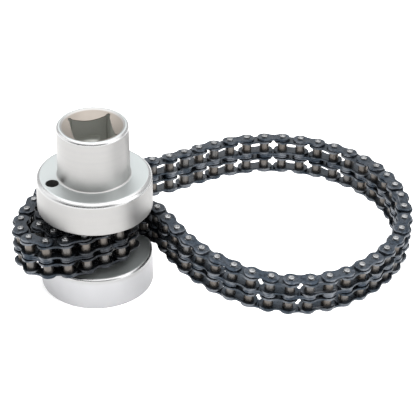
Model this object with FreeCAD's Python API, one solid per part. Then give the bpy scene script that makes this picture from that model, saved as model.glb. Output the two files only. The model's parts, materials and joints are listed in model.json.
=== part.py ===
import FreeCAD, Part
import math
import os

# Chain-type oil filter wrench: a turned body with a 1/2 inch female square drive and
# a duplex 1/4 inch pitch bush chain.  One end of the chain is held by an anchor pin
# between the two drums, the chain bends round a guide post, makes the open loop that
# goes round the filter, and its free end wraps round the outside of the held end.
#
# Millimetres, +Z up, origin on the body's axis at the base of the lower drum.

Vec = FreeCAD.Vector
UP = Vec(0, 0, 1)

# ---- Turned body -------------------------------------------------------------
UPPER_R = 18.85            # the drum under the neck
LOWER_R = 18.5             # the separate drum at the base
NECK_R = 11.7
CORE_R = 7.5
LOWER_TOP = 11.5
UPPER_BOTTOM = 28.8
UPPER_TOP = 40.7
NECK_TOP = 59.0
UPPER_RIM_ROUND = 1.6      # rounding of the upper drum's top edge
LOWER_RIM_ROUND = 1.0      # rounding of the lower drum's top edge
NECK_ROUND = 1.0           # rounding of the neck's top edge
SMALL_ROUND = 0.6          # rounding of the drums' bottom edges
NECK_FILLET = 0.6          # fillet where the neck meets the upper drum

# ---- Square drive ------------------------------------------------------------
SQUARE = 13.1              # across flats, for a 12.7 mm (1/2 inch) square
SQUARE_DEPTH = 16.0
SQUARE_TURN = 12.8         # degrees that the flats are turned from the X axis
RELIEF_R = 0.75            # round relief along each upright corner of the square
RELIEF_OUT = 0.35          # how far the relief reaches beyond the flats
MOUTH_R = 10.5             # conical lead-in at the neck's top face
MOUTH_FALL = 30.0          # degrees that the cone falls below level
DETENT_R = 7.5             # round groove that a drive's detent ball snaps into
DETENT_ROUND = 1.9         # radius of the groove's section
DETENT_DEPTH = 9.1         # from the neck's top to the groove's middle

# ---- Lower drum's fastening ----------------------------------------------------
SPIGOT_R = 5.0             # end of the core, inside the lower drum
SPIGOT_END = 5.0
SCREW_R = 3.0              # M6 countersunk socket screw
SCREW_HOLE_R = 3.2
SCREW_END = 17.0
SCREW_HEAD_R = 5.6
SCREW_HEAD_FACE = 0.5      # the head's face above the base
SCREW_SOCKET_AF = 4.0
SCREW_SOCKET_DEPTH = 2.4

# ---- Guide post and anchor pin ---------------------------------------------------
POST_X, POST_Y = -13.15, -6.1
POST_R = 1.4
POST_HEAD_R = 2.1
POST_HOLE_R = 2.2
POST_HEAD_BOTTOM = 31.0
POST_HEAD_TOP = 34.0
POST_END = 4.5
FIT_GAP = 0.02             # radial gap of the plain fits
ANCHOR_END = 6.0
ANCHOR_TOP = 34.0

# ---- Duplex chain, 1/4 inch pitch --------------------------------------------------
PITCH = 6.35
STRAND_OFFSET = 3.20       # from the middle of the chain to the middle of a strand
PIN_R = 1.155
PIN_HALF = 6.95
PIN_CHAMFER = 0.30
BUSH_R = 1.65
BUSH_BORE_R = 1.255
PLATE = 0.75               # plate thickness
INNER_HALF_WIDTH = 2.34    # from a strand's middle to the outside of its inner plates
INNER_END_R = 3.00
INNER_WAIST = 2.20
OUTER_END_R = 2.60
OUTER_WAIST = 1.80
OUTER_FACE = 6.39          # from the chain's middle to the outside of the outer plates
PLATE_CHAMFER = 0.12

# ---- Where the chain lies ------------------------------------------------------------
# Joint numbers count from the anchor pin.  Link k joins joint k to joint k + 1, and
# odd links are outer links.
ANCHOR_Z = 19.10           # middle of the chain at the anchor pin
LOOP_START = 10            # joint where the chain leaves the held wrap for the loop
LOOP_END = 47              # joint where the loop comes back to the body
TAIL_START = 55            # joint where the free end leaves the return wrap
LAST_JOINT = 65

# Plan of the chain's middle line, from the anchor pin round to the free end.
ROUTE = [
    (-7.0, -8.8), (-12.9, -11.0), (-17.8, -6.9), (-17.2, -0.6), (-13.9, 4.9),
    (-9.1, 8.7), (-3.2, 11.0), (3.1, 11.8), (9.1, 11.0), (14.6, 8.8),
    (19.4, 4.5), (26.3, -7.0), (34.5, -17.2), (44.7, -24.5), (56.6, -28.7),
    (69.2, -28.4), (80.8, -23.6), (90.5, -15.4), (97.7, -5.0), (101.4, 7.1),
    (101.2, 19.8), (97.3, 31.9), (90.1, 42.3), (80.4, 50.3), (68.7, 55.4),
    (56.1, 56.3), (44.0, 52.8), (33.2, 46.2), (23.1, 38.8), (11.3, 34.2),
    (-1.2, 32.2), (-12.2, 26.1), (-18.4, 15.2), (-22.5, 3.1), (-23.9, -3.1),
    (-23.5, -9.4), (-20.3, -14.9), (-14.7, -17.8), (-8.4, -17.8), (-2.4, -15.7),
    (3.0, -12.4), (8.6, -8.1), (11.2, -1.0),
]

# Slope of the surface that the chain lies on, as rise along X and along Y, at a few
# joints: level at the held end, drooping away in the loop, tilted back at the free end.
SLOPES = [
    (0, 0.0, 0.0), (6, 0.0, 0.0), (16, -0.086, 0.071), (26, -0.062, 0.048),
    (36, -0.025, -0.056), (46, -0.024, -0.119), (54, 0.034, -0.052), (65, 0.063, -0.065),
]


# ---- Where each joint and link lies ----------------------------------------------------
def slope_at(joint):
    """Slope of the chain's surface at a joint number, eased between the listed joints."""
    for first, last in zip(SLOPES, SLOPES[1:]):
        if joint <= last[0]:
            share = (joint - first[0]) / (last[0] - first[0])
            share = share * share * (3 - 2 * share)
            return [a + (b - a) * share for a, b in zip(first[1:], last[1:])]
    return list(SLOPES[-1][1:])


def axis_at(joint):
    """Unit normal of the chain's surface at a joint number."""
    rise_x, rise_y = slope_at(joint)
    return Vec(-rise_x, -rise_y, 1).normalize()


def lay_chain():
    """March along the route in steps of one pitch, and return the joint points."""
    route = Part.BSplineCurve()
    route.interpolate([Vec(x, y, 0) for x, y in ROUTE])
    end = route.LastParameter

    def stepped(joint, start, along):
        plan = route.value(along)
        rise_x, rise_y = slope_at(joint + 0.5)
        rise = rise_x * (plan.x - start.x) + rise_y * (plan.y - start.y)
        return Vec(plan.x, plan.y, start.z + rise)

    points = [Vec(ROUTE[0][0], ROUTE[0][1], ANCHOR_Z)]
    along = route.FirstParameter
    for joint in range(LAST_JOINT):
        low, high = along, along + 1.6 * PITCH * (end - route.FirstParameter) / route.length()
        for _ in range(50):
            middle = (low + high) / 2
            if stepped(joint, points[-1], middle).distanceToPoint(points[-1]) < PITCH:
                low = middle
            else:
                high = middle
        along = low
        points.append(stepped(joint, points[-1], along))
    return points


def link_frames(points):
    """Placement of every link: origin on its first joint, X to its second, Z its pins'."""
    frames = []
    for link, (start, finish) in enumerate(zip(points, points[1:])):
        x_axis = (finish - start).normalize()
        normal = axis_at(link + 0.5)
        z_axis = (normal - x_axis * normal.dot(x_axis)).normalize()
        y_axis = z_axis.cross(x_axis)
        frames.append(FreeCAD.Placement(start, FreeCAD.Rotation(x_axis, y_axis, z_axis, "ZXY")))
    return frames


# ---- Chain pieces --------------------------------------------------------------------
def cylinder(radius, bottom, top, x=0.0, y=0.0):
    return Part.makeCylinder(radius, top - bottom, Vec(x, y, bottom), UP)


def link_plate(end_r, waist, hole_r, bottom):
    """A waisted link plate with two holes, one at the origin and one a pitch along X."""
    hollow_r = ((PITCH / 2) ** 2 + waist ** 2 - end_r ** 2) / (2 * (end_r - waist))
    reach = end_r / (end_r + hollow_r)
    touch_x, touch_y = reach * PITCH / 2, reach * (waist + hollow_r)
    corners = [(touch_x, touch_y), (PITCH - touch_x, touch_y),
               (PITCH - touch_x, -touch_y), (touch_x, -touch_y)]
    crowns = [(PITCH / 2, waist), (PITCH + end_r, 0), (PITCH / 2, -waist), (-end_r, 0)]
    edges = []
    for index, crown in enumerate(crowns):
        start, finish = corners[index], corners[(index + 1) % 4]
        edges.append(Part.Arc(Vec(*start, bottom), Vec(*crown, bottom), Vec(*finish, bottom)).toShape())
    plate = Part.Face(Part.Wire(edges)).extrude(UP * PLATE)
    rims = [edge for edge in plate.Edges if abs(edge.BoundBox.ZLength) < 1e-6]
    plate = plate.makeChamfer(PLATE_CHAMFER, rims)
    for x in (0, PITCH):
        plate = plate.cut(cylinder(hole_r, bottom, bottom + PLATE, x))
    return plate


def outer_link():
    """Two outer plates and two centre plates, held together by a riveted pin at each end."""
    levels = (-OUTER_FACE, -PLATE, 0, OUTER_FACE - PLATE)
    pieces = [link_plate(OUTER_END_R, OUTER_WAIST, PIN_R, level) for level in levels]
    for x in (0, PITCH):
        pin = cylinder(PIN_R, -PIN_HALF, PIN_HALF, x)
        rims = [edge for edge in pin.Edges if edge.BoundBox.ZLength < 1e-6]
        pieces.append(pin.makeChamfer(PIN_CHAMFER, rims))
    return pieces


def inner_link():
    """In each strand, two inner plates with a bush pressed through them at both ends."""
    pieces = []
    for strand in (-STRAND_OFFSET, STRAND_OFFSET):
        bottom, top = strand - INNER_HALF_WIDTH, strand + INNER_HALF_WIDTH
        pieces.append(link_plate(INNER_END_R, INNER_WAIST, BUSH_R, bottom))
        pieces.append(link_plate(INNER_END_R, INNER_WAIST, BUSH_R, top - PLATE))
        for x in (0, PITCH):
            bush = cylinder(BUSH_R, bottom, top, x)
            pieces.append(bush.cut(cylinder(BUSH_BORE_R, bottom, top, x)))
    return pieces


def placed(pieces, frame):
    """Copies of the pieces, moved to a link's place."""
    copies = []
    for piece in pieces:
        copy = piece.copy()
        copy.Placement = frame.multiply(copy.Placement)
        copies.append(copy)
    return copies


def chain_nodes():
    """Every chain node: one per moving link, and two for each wrap held in the body."""
    frames = link_frames(lay_chain())
    kinds = [inner_link(), outer_link()]
    nodes = {}

    def wrap(name, links):
        for odd, kind in enumerate(("inner", "outer")):
            group = [placed(kinds[odd], frames[link]) for link in links if link % 2 == odd]
            nodes[f"{name}_{kind}_links"] = Part.makeCompound(sum(group, []))

    wrap("held_wrap", range(LOOP_START))
    wrap("return_wrap", range(LOOP_END, TAIL_START))
    for name, first, last in (("loop", LOOP_START, LOOP_END), ("tail", TAIL_START, LAST_JOINT)):
        for link in range(first, last):
            kind = "outer" if link % 2 else "inner"
            node = f"{name}_{kind}_link_{link - first + 1:02d}"
            nodes[node] = Part.makeCompound(placed(kinds[link % 2], frames[link]))
    return nodes


# ---- Turned body -----------------------------------------------------------------------
def edges_at(shape, radius, level):
    """The circular edges of a turned shape at one radius and height."""
    found = []
    for edge in shape.Edges:
        if not isinstance(edge.Curve, Part.Circle):
            continue
        if abs(edge.Curve.Radius - radius) < 1e-4 and abs(edge.Curve.Center.z - level) < 1e-4:
            found.append(edge)
    return found


def square_recess():
    """The square hole with its corner reliefs, conical mouth and detent groove, as one cutter."""
    half = SQUARE / 2
    floor = NECK_TOP - SQUARE_DEPTH
    square = Part.makeBox(SQUARE, SQUARE, SQUARE_DEPTH, Vec(-half, -half, floor))
    corner = half + RELIEF_OUT - RELIEF_R
    reliefs = [cylinder(RELIEF_R, floor, NECK_TOP, x, y)
               for x in (-corner, corner) for y in (-corner, corner)]
    square = square.fuse(reliefs).removeSplitter()
    square.rotate(Vec(0, 0, 0), UP, SQUARE_TURN)
    mouth_depth = MOUTH_R * math.tan(math.radians(MOUTH_FALL))
    mouth = Part.makeCone(0, MOUTH_R, mouth_depth, Vec(0, 0, NECK_TOP - mouth_depth), UP)
    groove = Part.makeTorus(DETENT_R - DETENT_ROUND, DETENT_ROUND, Vec(0, 0, NECK_TOP - DETENT_DEPTH))
    return square.fuse([mouth, groove])


def drive_body():
    """Neck, upper drum, core and spigot, turned from one bar."""
    body = cylinder(NECK_R, UPPER_BOTTOM, NECK_TOP)
    body = body.fuse([cylinder(UPPER_R, UPPER_BOTTOM, UPPER_TOP),
                      cylinder(CORE_R, LOWER_TOP, UPPER_BOTTOM),
                      cylinder(SPIGOT_R, SPIGOT_END, LOWER_TOP)]).removeSplitter()
    body = body.makeFillet(UPPER_RIM_ROUND, edges_at(body, UPPER_R, UPPER_TOP))
    body = body.makeFillet(SMALL_ROUND, edges_at(body, UPPER_R, UPPER_BOTTOM))
    body = body.makeFillet(NECK_ROUND, edges_at(body, NECK_R, NECK_TOP))
    body = body.makeFillet(NECK_FILLET, edges_at(body, NECK_R, UPPER_TOP))
    post_hole = cylinder(POST_HOLE_R, POST_HEAD_BOTTOM, UPPER_TOP + 1, POST_X, POST_Y)
    post_bore = cylinder(POST_R + FIT_GAP, UPPER_BOTTOM - 1, POST_HEAD_BOTTOM, POST_X, POST_Y)
    anchor_hole = cylinder(PIN_R, UPPER_BOTTOM - 1, ANCHOR_TOP, *ROUTE[0])
    screw_hole = cylinder(SCREW_R, SPIGOT_END - 1, SCREW_END)
    return body.cut([square_recess(), post_hole, post_bore, anchor_hole, screw_hole])


def lower_drum():
    """The separate bottom drum, bored for the spigot and countersunk for the screw."""
    drum = cylinder(LOWER_R, 0, LOWER_TOP)
    drum = drum.makeFillet(LOWER_RIM_ROUND, edges_at(drum, LOWER_R, LOWER_TOP))
    drum = drum.makeFillet(SMALL_ROUND, edges_at(drum, LOWER_R, 0))
    spigot_bore = cylinder(SPIGOT_R + FIT_GAP, SPIGOT_END, LOWER_TOP + 1)
    screw_hole = cylinder(SCREW_HOLE_R, -1, SPIGOT_END + 1)
    post_hole = cylinder(POST_R + FIT_GAP, POST_END, LOWER_TOP + 1, POST_X, POST_Y)
    anchor_hole = cylinder(PIN_R, ANCHOR_END, LOWER_TOP + 1, *ROUTE[0])
    return drum.cut([spigot_bore, screw_hole, screw_sink(), post_hole, anchor_hole])


def screw_sink():
    """The countersink under the drum: a straight lip, then a 90 degree cone."""
    lip = cylinder(SCREW_HEAD_R, -1, SCREW_HEAD_FACE)
    cone = Part.makeCone(SCREW_HEAD_R, 0, SCREW_HEAD_R, Vec(0, 0, SCREW_HEAD_FACE), UP)
    return lip.fuse(cone)


def drum_screw():
    """Countersunk socket screw that holds the lower drum on the core."""
    shank = cylinder(SCREW_R, SCREW_HEAD_FACE, SCREW_END)
    head = Part.makeCone(SCREW_HEAD_R, 0, SCREW_HEAD_R, Vec(0, 0, SCREW_HEAD_FACE), UP)
    corner = SCREW_SOCKET_AF / math.sqrt(3)
    turns = [math.radians(60 * step) for step in range(7)]
    outline = [Vec(corner * math.cos(turn), corner * math.sin(turn), SCREW_HEAD_FACE) for turn in turns]
    socket = Part.Face(Part.makePolygon(outline)).extrude(UP * SCREW_SOCKET_DEPTH)
    return shank.fuse(head).removeSplitter().cut(socket)


def guide_post():
    """Headed post between the drums, which the held end of the chain bends round."""
    shank = cylinder(POST_R, POST_END, POST_HEAD_BOTTOM, POST_X, POST_Y)
    head = cylinder(POST_HEAD_R, POST_HEAD_BOTTOM, POST_HEAD_TOP, POST_X, POST_Y)
    head = head.makeChamfer(PIN_CHAMFER, edges_at(head, POST_HEAD_R, POST_HEAD_TOP))
    return shank.fuse(head)


def anchor_pin():
    """Plain pin pressed into both drums, through the bushes of the chain's end link."""
    pin = cylinder(PIN_R, ANCHOR_END, ANCHOR_TOP, *ROUTE[0])
    return pin.makeChamfer(PIN_CHAMFER, edges_at(pin, PIN_R, ANCHOR_END))


def body_nodes():
    return {
        "drive_body": drive_body(),
        "lower_drum": lower_drum(),
        "drum_screw": drum_screw(),
        "guide_post": guide_post(),
        "anchor_pin": anchor_pin(),
    }


os.makedirs("parts", exist_ok=True)
for node_name, node_shape in {**body_nodes(), **chain_nodes()}.items():
    node_shape.exportStep(f"parts/{node_name}.step")
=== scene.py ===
import json
import math
import random

import bmesh
import bpy
import numpy as np
from mathutils import Matrix, Vector


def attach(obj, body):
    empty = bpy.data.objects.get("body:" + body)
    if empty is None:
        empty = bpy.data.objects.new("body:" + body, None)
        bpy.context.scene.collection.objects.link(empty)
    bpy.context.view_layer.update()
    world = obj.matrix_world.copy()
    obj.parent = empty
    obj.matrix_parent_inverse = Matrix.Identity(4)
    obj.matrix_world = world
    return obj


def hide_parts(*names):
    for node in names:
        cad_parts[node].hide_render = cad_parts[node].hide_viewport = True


# Looks of a chain-type oil filter wrench.  The turned body keeps its CAD meshes and gets
# plated-steel materials.  Every chain node is rebuilt, link by link, from four finer
# meshes: a rounded outer plate, a rounded inner plate, a punched pin and a rolled bush.
#
# Metres, +Z up, origin on the body's axis at the base of the lower drum.

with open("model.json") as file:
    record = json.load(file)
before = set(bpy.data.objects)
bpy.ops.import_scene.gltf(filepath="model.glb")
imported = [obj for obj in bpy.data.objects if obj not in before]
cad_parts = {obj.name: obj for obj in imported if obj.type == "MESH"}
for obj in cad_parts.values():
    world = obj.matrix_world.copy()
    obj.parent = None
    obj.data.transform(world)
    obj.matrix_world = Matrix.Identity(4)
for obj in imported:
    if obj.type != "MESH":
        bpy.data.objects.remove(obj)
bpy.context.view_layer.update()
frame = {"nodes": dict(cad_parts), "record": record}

MM = 0.001

# ---- Chain sizes ---------------------------------------------------------------------
PITCH = 6.35 * MM
STRAND_OFFSET = 3.20 * MM        # from the chain's middle to the middle of a strand
PLATE = 0.75 * MM                # plate thickness
PLATE_ROUND = 0.14 * MM          # rounding of a punched plate's edges
OUTER_END_R = 2.60 * MM
OUTER_WAIST = 1.80 * MM
OUTER_FACE = 6.39 * MM           # from the chain's middle to an outer plate's outside
INNER_END_R = 3.00 * MM
INNER_WAIST = 2.20 * MM
INNER_HALF_WIDTH = 2.34 * MM     # from a strand's middle to an inner plate's outside
PIN_R = 1.155 * MM
PIN_HALF = 6.95 * MM
BUSH_R = 1.65 * MM
BUSH_BORE_R = 1.255 * MM
BUSH_ROUND = 0.08 * MM
BUSH_SEAM = 0.05 * MM            # half the gap of a rolled bush's seam

# ---- Body sizes ----------------------------------------------------------------------
NECK_TOP = 59.0 * MM
LOWER_TOP = 11.5 * MM            # top of the lower drum
DRUM_GAP = (LOWER_TOP, 28.9 * MM)
MOUTH_R = 10.5 * MM              # conical lead-in of the square drive
MOUTH_FALL = math.radians(30)
SOCKET_FLOOR = 43.0 * MM
# Each rim is polished, with a lower roughness, and gets a lighter colour: a painted highlight.
RIMS = [                         # radius, top and rounding of each polished rim
    (11.7 * MM, NECK_TOP, 1.0 * MM),
    (18.85 * MM, 40.7 * MM, 1.6 * MM),
    (18.5 * MM, LOWER_TOP, 1.0 * MM),
]

# ---- Painted shade on the chain, by distance from the body's axis ----------------------
FULL_SHADE_R = 18 * MM
NO_SHADE_R = 28 * MM

# ---- Camera --------------------------------------------------------------------------
LOOK_AT = Vector((0.0374, 0.0100, 0.0200))
CAMERA_DISTANCE = 0.6897
CAMERA_ELEVATION = math.radians(33.62)
LENS = 178.0
SENSOR_WIDTH = 36.0


# ---- Meshes --------------------------------------------------------------------------
def arc(centre, radius, start, end, steps):
    """Points on an arc from one angle to another, in degrees, with both ends."""
    points = []
    for step in range(steps + 1):
        angle = math.radians(start + (end - start) * step / steps)
        points.append((centre[0] + radius * math.cos(angle), centre[1] + radius * math.sin(angle)))
    return points


def plate_outline(end_r, waist):
    """Outline of a waisted link plate, centred on its middle, with its length along X."""
    half = PITCH / 2
    hollow_r = (half ** 2 + waist ** 2 - end_r ** 2) / (2 * (end_r - waist))
    tilt = math.degrees(math.atan2(waist + hollow_r, half))
    right = arc((half, 0), end_r, tilt - 180, 180 - tilt, 20)
    upper = arc((0, waist + hollow_r), hollow_r, -tilt, tilt - 180, 8)
    left = arc((-half, 0), end_r, tilt, 360 - tilt, 20)
    lower = arc((0, -waist - hollow_r), hollow_r, 180 - tilt, tilt, 8)
    return right[:-1] + upper[:-1] + left[:-1] + lower[:-1]


def flat_mesh(name, outlines, thickness, rounding):
    """A flat piece with rounded edges.  Holes are outlines that run the other way round."""
    curve = bpy.data.curves.new(name, "CURVE")
    curve.dimensions = "2D"
    curve.fill_mode = "BOTH"
    curve.extrude = thickness / 2 - rounding
    curve.bevel_depth = rounding
    curve.bevel_resolution = 1
    curve.offset = -rounding
    for outline in outlines:
        spline = curve.splines.new("POLY")
        spline.points.add(len(outline) - 1)
        for point, (x, y) in zip(spline.points, outline):
            point.co = (x, y, 0, 1)
        spline.use_cyclic_u = True
    holder = bpy.data.objects.new(name, curve)
    mesh = bpy.data.meshes.new_from_object(holder)
    bpy.data.objects.remove(holder)
    bpy.data.curves.remove(curve)
    return cleaned(mesh)


def cleaned(mesh):
    """The mesh with coincident points joined, its faces turned outwards, and shaded smooth."""
    bm = bmesh.new()
    bm.from_mesh(mesh)
    bmesh.ops.remove_doubles(bm, verts=bm.verts, dist=MM / 1000)
    bmesh.ops.recalc_face_normals(bm, faces=bm.faces)
    for face in bm.faces:
        face.smooth = True
    bm.to_mesh(mesh)
    bm.free()
    return mesh


def plate_mesh(name, end_r, waist, hole_r):
    """A link plate with two holes."""
    holes = [arc((x, 0), hole_r, 360, 15, 23) for x in (-PITCH / 2, PITCH / 2)]
    return flat_mesh(name, [plate_outline(end_r, waist)] + holes, PLATE, PLATE_ROUND)


def bush_mesh():
    """A bush rolled from strip: a tube along Z with a butt seam on its +X side."""
    seam_out = math.degrees(BUSH_SEAM / BUSH_R)
    seam_in = math.degrees(BUSH_SEAM / BUSH_BORE_R)
    outside = arc((0, 0), BUSH_R, seam_out, 360 - seam_out, 28)
    inside = arc((0, 0), BUSH_BORE_R, 360 - seam_in, seam_in, 20)
    return flat_mesh("bush", [outside + inside], 2 * INNER_HALF_WIDTH, BUSH_ROUND)


def pin_mesh():
    """A pin along Z, turned down a little at its ends, which have a punched dimple."""
    half_end = [
        (0.00, PIN_HALF - 0.30 * MM), (0.20 * MM, PIN_HALF - 0.28 * MM),
        (0.46 * MM, PIN_HALF), (0.86 * MM, PIN_HALF),
        (0.98 * MM, PIN_HALF - 0.08 * MM), (1.02 * MM, PIN_HALF - 0.20 * MM),
        (1.02 * MM, OUTER_FACE - 0.16 * MM), (PIN_R, OUTER_FACE - 0.20 * MM),
    ]
    profile = half_end + [(r, -z) for r, z in reversed(half_end)]
    bm = bmesh.new()
    verts = [bm.verts.new((r, 0, z)) for r, z in profile]
    edges = [bm.edges.new(pair) for pair in zip(verts, verts[1:])]
    bmesh.ops.spin(bm, geom=verts + edges, cent=(0, 0, 0), axis=(0, 0, 1), angle=math.tau, steps=28)
    mesh = bpy.data.meshes.new("pin")
    bm.to_mesh(mesh)
    bm.free()
    return cleaned(mesh)


# ---- Reading the chain from the frame ------------------------------------------------
LEAST_PLATE_POINTS = 20          # a plate's flat face has many more points than this


def patches(mesh):
    """The connected patches of a mesh, each as an array of points, in the mesh's own order."""
    bm = bmesh.new()
    bm.from_mesh(mesh)
    reached = set()
    found = []
    for start in bm.verts:
        if start in reached:
            continue
        reached.add(start)
        waiting = [start]
        points = []
        while waiting:
            vert = waiting.pop()
            points.append(vert.co[:])
            for edge in vert.link_edges:
                near = edge.other_vert(vert)
                if near not in reached:
                    reached.add(near)
                    waiting.append(near)
        found.append(np.array(points))
    bm.free()
    return found


def plate_faces(node):
    """Middle, length axis and normal of every flat face of a link plate in a CAD node."""
    found = []
    for points in patches(frame["nodes"][node].data):
        if len(points) < LEAST_PLATE_POINTS:
            continue
        mean = points.mean(0)
        _, axes = np.linalg.eigh(np.cov((points - mean).T))
        along = (points - mean) @ axes
        low, high = along.min(0), along.max(0)
        is_flat = high[0] - low[0] < MM / 100
        is_long = high[2] - low[2] > 1.6 * PITCH
        if is_flat and is_long:
            normal = Vector(axes[:, 0]) * (1 if axes[2, 0] > 0 else -1)
            found.append((Vector(mean + axes @ ((low + high) / 2)), Vector(axes[:, 2]), normal))
    return found


def link_places(node):
    """A matrix for each link in a CAD node: its middle, X along the link, Z along its pins."""
    links = []
    for middle, length_axis, normal in plate_faces(node):
        for link in links:
            gap = middle - link[0][0]
            if (gap - link[0][2] * gap.dot(link[0][2])).length < PITCH / 4:
                link.append((middle, length_axis, normal))
                break
        else:
            links.append([(middle, length_axis, normal)])
    places = []
    for link in links:
        middle = sum((face[0] for face in link), Vector()) / len(link)
        x_axis, z_axis = link[0][1], link[0][2]
        turn = Matrix((x_axis, z_axis.cross(x_axis), z_axis)).transposed()
        places.append(Matrix.Translation(middle) @ turn.to_4x4())
    return places


# ---- Materials -----------------------------------------------------------------------
class Nodes:
    """A node tree with short calls for adding nodes."""

    def __init__(self, tree):
        self.tree = tree

    def node(self, kind, inputs=None, **settings):
        """Adds a node with the given inputs and settings."""
        made = self.tree.nodes.new(kind)
        for key, value in settings.items():
            setattr(made, key, value)
        for key, value in (inputs or {}).items():
            self.feed(made.inputs[key], value)
        return made

    def feed(self, socket, value):
        """Links another node's output to a socket, or sets its value."""
        if isinstance(value, bpy.types.NodeSocket):
            self.tree.links.new(value, socket)
        else:
            socket.default_value = value

    def math(self, operation, *values):
        made = self.node("ShaderNodeMath", operation=operation)
        for socket, value in zip(made.inputs, values):
            self.feed(socket, value)
        return made.outputs[0]

    def between(self, value, low, high, out_low=0.0, out_high=1.0):
        """The value mapped smoothly from low..high to out_low..out_high, and clamped."""
        inputs = {"Value": value, "From Min": low, "From Max": high,
                  "To Min": out_low, "To Max": out_high}
        made = self.node("ShaderNodeMapRange", inputs, interpolation_type="SMOOTHSTEP")
        return made.outputs["Result"]

    def mix(self, share, first, second):
        """A colour that is the given share of the way from the first to the second."""
        made = self.node("ShaderNodeMix", data_type="RGBA")
        self.feed(made.inputs[0], share)
        self.feed(made.inputs[6], first)
        self.feed(made.inputs[7], second)
        return made.outputs[2]


class Finish(Nodes):
    """A material with a procedural surface."""

    def __init__(self, name):
        self.material = bpy.data.materials.new(name)
        self.material.use_nodes = True
        super().__init__(self.material.node_tree)
        self.shader = self.tree.nodes["Principled BSDF"]
        coordinates = self.node("ShaderNodeTexCoord").outputs
        self.place = coordinates["Object"]
        self.facing = coordinates["Normal"]

    def set(self, **values):
        """Feeds the shader's inputs, such as Base_Color."""
        for key, value in values.items():
            self.feed(self.shader.inputs[key.replace("_", " ")], value)

    def noise(self, size, detail=3.0, place=None):
        """Noise whose lumps are about the given size in metres, from 0 to 1."""
        inputs = {"Vector": place or self.place, "Scale": 1 / size, "Detail": detail}
        return self.node("ShaderNodeTexNoise", inputs).outputs["Fac"]

    def bump(self, height, distance, strength=1.0, normal=None):
        """A normal bent by a height, on top of another normal if one is given."""
        inputs = {"Height": height, "Distance": distance, "Strength": strength}
        if normal:
            inputs["Normal"] = normal
        return self.node("ShaderNodeBump", inputs).outputs["Normal"]

    def height_and_radius(self):
        """Height above the base, and distance from the body's axis, in metres."""
        split = self.node("ShaderNodeSeparateXYZ", {"Vector": self.place})
        x, y, z = split.outputs
        across = self.math("ADD", self.math("MULTIPLY", x, x), self.math("MULTIPLY", y, y))
        return z, self.math("SQRT", across)


def band(finish, value, low, high, edge=0.1 * MM):
    """1 where the value lies from low to high, and 0 beyond its soft edges."""
    above = finish.between(value, low - edge, low)
    below = finish.between(value, high + edge, high)
    return finish.math("MULTIPLY", above, below)


def rim_mask(finish, height, radius):
    """1 on the rounded rims of the neck and drums, and 0 elsewhere."""
    mask = 0.0
    for rim_radius, top, rounding in RIMS:
        level = band(finish, height, top - rounding, top - 0.08 * MM, 0.05 * MM)
        outside = band(finish, radius, rim_radius - rounding, rim_radius)
        mask = finish.math("MAXIMUM", mask, finish.math("MULTIPLY", level, outside))
    return mask


def bore_mask(finish, height, radius):
    """1 inside the conical mouth and the socket, and 0 outside them."""
    inside = finish.between(radius, MOUTH_R - 0.4 * MM, MOUTH_R - 0.9 * MM)
    above_floor = finish.between(height, SOCKET_FLOOR - 0.5 * MM, SOCKET_FLOOR - 0.1 * MM)
    return finish.math("MULTIPLY", inside, above_floor)


def socket_mask(finish, height, radius):
    """1 on the walls of the square socket, below its conical mouth, and 0 elsewhere."""
    slope = math.tan(MOUTH_FALL)
    cone_tip = NECK_TOP - MOUTH_R * slope
    over_tip = finish.math("SUBTRACT", height, finish.math("MULTIPLY", radius, slope))
    below_cone = finish.between(over_tip, cone_tip - 0.2 * MM, cone_tip - 0.3 * MM)
    return finish.math("MULTIPLY", below_cone, bore_mask(finish, height, radius))


def turned_colour(finish, height, radius, coarse_marks, smudges):
    """Plate colour: painted light on the upward faces, a painted highlight on the polished rims, a warm
    mouth, painted light on the dull socket walls, painted light on the lower drum's side.
    """
    upward = finish.node("ShaderNodeSeparateXYZ", {"Vector": finish.facing}).outputs["Z"]
    # Upward faces get a lighter, greenish colour: painted light, as if lit from above.
    painted_top_light = finish.between(upward, 0.90, 0.99)
    marked = finish.between(coarse_marks, 0.35, 0.75, 0, 0.16)
    # Below the lower drum's top the colour gets lighter: painted light, standing in for light reflected
    # from the floor.
    painted_base_light = finish.between(height, LOWER_TOP - 0.1 * MM, LOWER_TOP - 2.5 * MM)
    bore = bore_mask(finish, height, radius)

    colour = finish.mix(smudges, (0.298, 0.293, 0.288, 1), (0.364, 0.359, 0.352, 1))
    colour = finish.mix(marked, colour, (0.275, 0.28, 0.285, 1))
    # Painted light: the lower drum's side made lighter.
    colour = finish.mix(painted_base_light, colour, (0.405, 0.405, 0.415, 1))
    # Painted light: upward faces made lighter.
    colour = finish.mix(painted_top_light, colour, (0.44, 0.465, 0.465, 1))
    # Painted highlight: the rims get a lighter colour, on top of their polish.
    colour = finish.mix(rim_mask(finish, height, radius), colour, (0.37, 0.37, 0.37, 1))
    colour = finish.mix(bore, colour, (0.26, 0.235, 0.21, 1))
    # Painted light: the socket walls get a lighter colour than the body, standing in for light inside
    # the socket.
    return finish.mix(socket_mask(finish, height, radius), colour, (0.50, 0.505, 0.48, 1))


def turned_roughness(finish, height, radius, smudges):
    """Smoother on the polished rims, rougher in the bore and between the drums."""
    rough = finish.between(smudges, 0.3, 0.7, 0.40, 0.48)
    in_gap = band(finish, height, *DRUM_GAP)
    dull = finish.math("MAXIMUM", in_gap, bore_mask(finish, height, radius))
    rough = finish.math("ADD", rough, finish.math("MULTIPLY", dull, 0.14))
    polish = finish.math("MULTIPLY", rim_mask(finish, height, radius), 0.17)
    return finish.math("SUBTRACT", rough, polish)


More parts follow.
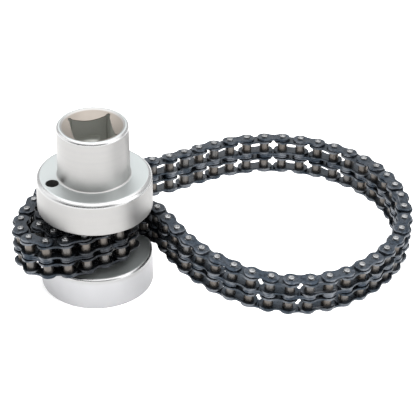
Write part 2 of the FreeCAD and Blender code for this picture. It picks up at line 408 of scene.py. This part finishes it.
def turned_plate_finish():
    """Satin nickel on turned steel, with tool marks round the axis."""
    finish = Finish("satin_nickel_turned")
    height, radius = finish.height_and_radius()
    lathe = finish.node("ShaderNodeCombineXYZ", {"X": radius, "Y": height}).outputs[0]
    coarse_marks = finish.noise(1.3 * MM, 2.0, lathe)
    smudges = finish.noise(7 * MM, 5.0)
    normal = finish.bump(finish.noise(0.16 * MM, 2.0, lathe), 0.006 * MM, 0.6)
    normal = finish.bump(finish.noise(0.6 * MM, 3.0), 0.010 * MM, 0.7, normal)
    tangent = finish.node("ShaderNodeTangent", direction_type="RADIAL", axis="Z").outputs[0]
    finish.set(Base_Color=turned_colour(finish, height, radius, coarse_marks, smudges),
               Roughness=turned_roughness(finish, height, radius, smudges),
               Metallic=1.0, Normal=normal, Anisotropic=0.30, Tangent=tangent)
    return finish.material


def painted_shade_near_body(finish):
    """Share of painted shade on the chain: most between the drums, none out in the loop."""
    _, radius = finish.height_and_radius()
    share = finish.between(radius, NO_SHADE_R, FULL_SHADE_R, 0.0, 0.85)
    shade_patches = finish.between(finish.noise(3.0 * MM), 0.25, 0.60, 0.55, 1.0)
    return finish.math("MULTIPLY", share, shade_patches)


def blued_finish(name, dark, light):
    """Blued, lightly oiled plate steel with a mottled oxide and rubbed patches."""
    finish = Finish(name)
    mottle = finish.noise(0.9 * MM, 5.0)
    patches_of_wear = finish.noise(4.0 * MM, 3.0)
    grain = finish.noise(0.25 * MM, 3.0)
    edge = finish.between(finish.node("ShaderNodeNewGeometry").outputs["Pointiness"], 0.51, 0.58)
    rubbed = finish.math("MULTIPLY", edge, finish.between(patches_of_wear, 0.38, 0.58))
    colour = finish.mix(finish.between(mottle, 0.34, 0.66), dark, light)
    colour = finish.mix(finish.math("MULTIPLY", rubbed, 0.6), colour, (0.26, 0.27, 0.29, 1))
    # Painted shade: plates near the body's axis, between the drums, are darkened to near black.
    colour = finish.mix(painted_shade_near_body(finish), colour, (0.008, 0.009, 0.011, 1))
    finish.set(Base_Color=colour, Metallic=0.9,
               Roughness=finish.between(mottle, 0.35, 0.65, 0.24, 0.44),
               Normal=finish.bump(grain, 0.012 * MM, 0.8),
               Coat_Weight=0.12, Coat_Roughness=0.22)
    return finish.material


def bush_finish():
    """Rolled bush steel, brown-grey from heat treatment, with marks round each bush."""
    finish = Finish("bush_steel_brown")
    mottle = finish.noise(0.9 * MM, 4.0)
    grain = finish.noise(0.20 * MM, 2.0)
    batch = finish.noise(9 * MM, 1.0)
    colour = finish.mix(mottle, (0.080, 0.069, 0.060, 1), (0.150, 0.134, 0.119, 1))
    colour = finish.mix(finish.between(batch, 0.4, 0.65, 0, 0.6), colour, (0.120, 0.122, 0.124, 1))
    finish.set(Base_Color=colour, Metallic=0.8,
               Roughness=finish.between(mottle, 0.35, 0.65, 0.30, 0.42),
               Normal=finish.bump(grain, 0.008 * MM, 0.6),
               Coat_Weight=0.1, Coat_Roughness=0.2)
    return finish.material


def pin_finish():
    """Bright ground pin steel with sheared, slightly stained ends."""
    finish = Finish("pin_steel_bright")
    stain = finish.noise(1.8 * MM, 4.0)
    scratches = finish.noise(0.14 * MM, 3.0)
    colour = finish.mix(finish.between(stain, 0.35, 0.75), (0.29, 0.295, 0.30, 1), (0.15, 0.15, 0.15, 1))
    finish.set(Base_Color=colour, Metallic=1.0,
               Roughness=finish.between(scratches, 0.3, 0.7, 0.24, 0.40),
               Normal=finish.bump(scratches, 0.010 * MM, 0.6))
    return finish.material


def oiled_fixing_finish():
    """Black-oxide screw, post and anchor pin, wet with oil."""
    finish = Finish("black_oxide_fixing")
    mottle = finish.noise(1.4 * MM, 4.0)
    grain = finish.noise(0.2 * MM, 3.0)
    finish.set(Base_Color=finish.mix(mottle, (0.020, 0.020, 0.020, 1), (0.060, 0.057, 0.050, 1)),
               Metallic=0.8, Roughness=finish.between(grain, 0.3, 0.7, 0.34, 0.5),
               Normal=finish.bump(grain, 0.008 * MM, 0.5), Coat_Weight=0.25, Coat_Roughness=0.2)
    return finish.material


def floor_finish():
    """Matt white acrylic of a light table, lit a little from below."""
    finish = Finish("light_table")
    fibre = finish.noise(1.5 * MM, 3.0)
    colour = finish.mix(fibre, (0.93, 0.93, 0.93, 1), (0.96, 0.96, 0.96, 1))
    finish.set(Base_Color=colour, Roughness=0.9, Emission_Color=colour, Emission_Strength=0.35)
    return finish.material


# ---- Pieces --------------------------------------------------------------------------
def chain_piece(name, template, places, material, node, body):
    """One piece with a copy of a template mesh at each place, riding with a chain link."""
    bm = bmesh.new()
    for place in places:
        copy = template.copy()
        copy.transform(place)
        bm.from_mesh(copy)
        bpy.data.meshes.remove(copy)
    mesh = bpy.data.meshes.new(name)
    bm.to_mesh(mesh)
    bm.free()
    mesh.materials.append(material)
    mesh.set_sharp_from_angle(angle=math.radians(40))
    piece = bpy.data.objects.new(name, mesh)
    bpy.context.scene.collection.objects.link(piece)
    shading = piece.modifiers.new("flat_faces", "WEIGHTED_NORMAL")
    shading.keep_sharp = True
    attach(piece, body)
    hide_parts(node)


def shifted(places, shifts, turn=None):
    """Every place moved by every (x, z) shift in its own frame, and turned if asked to."""
    moved = []
    for place in places:
        for x, z in shifts:
            matrix = place @ Matrix.Translation((x, 0, z))
            moved.append(matrix @ Matrix.Rotation(turn(), 4, "Z") if turn else matrix)
    return moved


def build_chain(body_of_node):
    """Rebuilds every chain node: plates and pins of outer links, plates and bushes of inner."""
    outer_plate = plate_mesh("outer_plate", OUTER_END_R, OUTER_WAIST, PIN_R)
    inner_plate = plate_mesh("inner_plate", INNER_END_R, INNER_WAIST, BUSH_R)
    pin = pin_mesh()
    bush = bush_mesh()
    outer_steel = blued_finish("blued_outer_plate", (0.013, 0.020, 0.030, 1), (0.032, 0.045, 0.062, 1))
    inner_steel = blued_finish("blued_inner_plate", (0.012, 0.018, 0.025, 1), (0.028, 0.038, 0.051, 1))
    pin_steel = pin_finish()
    bush_steel = bush_finish()
    seams = random.Random(25)

    half = PITCH / 2
    outer_levels = [OUTER_FACE - PLATE / 2, PLATE / 2, -PLATE / 2, PLATE / 2 - OUTER_FACE]
    strand_edge = INNER_HALF_WIDTH - PLATE / 2
    inner_levels = [strand + side for strand in (STRAND_OFFSET, -STRAND_OFFSET)
                    for side in (strand_edge, -strand_edge)]
    bush_spots = [(x, z) for x in (-half, half) for z in (-STRAND_OFFSET, STRAND_OFFSET)]

    for node in sorted(body_of_node):
        body = body_of_node[node]
        places = link_places(node)
        if "outer" in node:
            plates = shifted(places, [(0, level) for level in outer_levels])
            chain_piece(node + "_plates", outer_plate, plates, outer_steel, node, body)
            pins = shifted(places, [(-half, 0), (half, 0)])
            chain_piece(node + "_pins", pin, pins, pin_steel, node, body)
        else:
            plates = shifted(places, [(0, level) for level in inner_levels])
            chain_piece(node + "_plates", inner_plate, plates, inner_steel, node, body)
            bushes = shifted(places, bush_spots, lambda: seams.uniform(0, math.tau))
            chain_piece(node + "_bushes", bush, bushes, bush_steel, node, body)


def finish_body():
    """Gives the CAD nodes of the body their materials."""
    nickel = turned_plate_finish()
    oxide = oiled_fixing_finish()
    materials = {
        "drive_body": nickel, "lower_drum": nickel,
        "drum_screw": oxide, "guide_post": oxide, "anchor_pin": oxide,
    }
    for node, material in materials.items():
        frame["nodes"][node].material_slots[0].material = material


# ---- Studio --------------------------------------------------------------------------
def softbox(name, location, size, radiance):
    """A square area light of the given radiance that faces the object."""
    light = bpy.data.lights.new(name, "AREA")
    light.shape = "SQUARE"
    light.size = size
    light.energy = radiance * math.pi * size ** 2
    holder = bpy.data.objects.new(name, light)
    holder.location = location
    holder.rotation_euler = (LOOK_AT - Vector(location)).to_track_quat("-Z", "Y").to_euler()
    bpy.context.scene.collection.objects.link(holder)


def build_world():
    """A soft white studio: brighter overhead, with a dark wall low behind the camera."""
    world = bpy.data.worlds.new("studio")
    world.use_nodes = True
    sky = Nodes(world.node_tree)
    direction = sky.node("ShaderNodeTexCoord").outputs["Generated"]
    x, y, z = sky.node("ShaderNodeSeparateXYZ", {"Vector": direction}).outputs
    colour = sky.mix(sky.between(z, 0.0, 1.0), (1.00, 1.01, 1.02, 1), (1.35, 1.35, 1.35, 1))
    in_front = sky.math("MULTIPLY", sky.between(y, -0.35, -0.65), sky.between(z, 0.45, 0.30))
    colour = sky.mix(in_front, colour, (0.08, 0.08, 0.08, 1))
    sky.feed(sky.tree.nodes["Background"].inputs["Color"], colour)
    bpy.context.scene.world = world


def build_studio():
    """The light table, the sky and four softboxes."""
    mesh = bpy.data.meshes.new("floor")
    bm = bmesh.new()
    bmesh.ops.create_grid(bm, x_segments=1, y_segments=1, size=3.0)
    bm.to_mesh(mesh)
    bm.free()
    mesh.materials.append(floor_finish())
    floor = bpy.data.objects.new("floor", mesh)
    bpy.context.scene.collection.objects.link(floor)
    build_world()
    softbox("overhead", (0.05, 0.05, 1.1), 1.6, 1.9)
    softbox("left_box", (-0.9, 0.15, 0.45), 0.8, 1.2)
    softbox("right_box", (0.85, -0.35, 0.40), 0.8, 2.8)
    softbox("front_box", (0.0, -1.2, 0.9), 0.6, 0.8)


def build_camera():
    """A long lens that looks at the middle of the object from the front and above."""
    lens = bpy.data.cameras.new("camera")
    lens.lens = LENS
    lens.sensor_width = SENSOR_WIDTH
    camera = bpy.data.objects.new("camera", lens)
    away = Vector((0, -math.cos(CAMERA_ELEVATION), math.sin(CAMERA_ELEVATION)))
    camera.location = LOOK_AT + away * CAMERA_DISTANCE
    camera.rotation_euler = (math.pi / 2 - CAMERA_ELEVATION, 0, 0)
    bpy.context.scene.collection.objects.link(camera)
    bpy.context.scene.camera = camera
    bpy.context.scene.view_settings.view_transform = "Standard"


def chain_nodes():
    """Every chain node's name with the body it rides on."""
    bodies = frame["record"]["behaviour"]["bodies"]
    return {node: body for body, nodes in bodies.items() for node in nodes if "link" in node}


build_camera()
build_studio()
finish_body()
build_chain(chain_nodes())
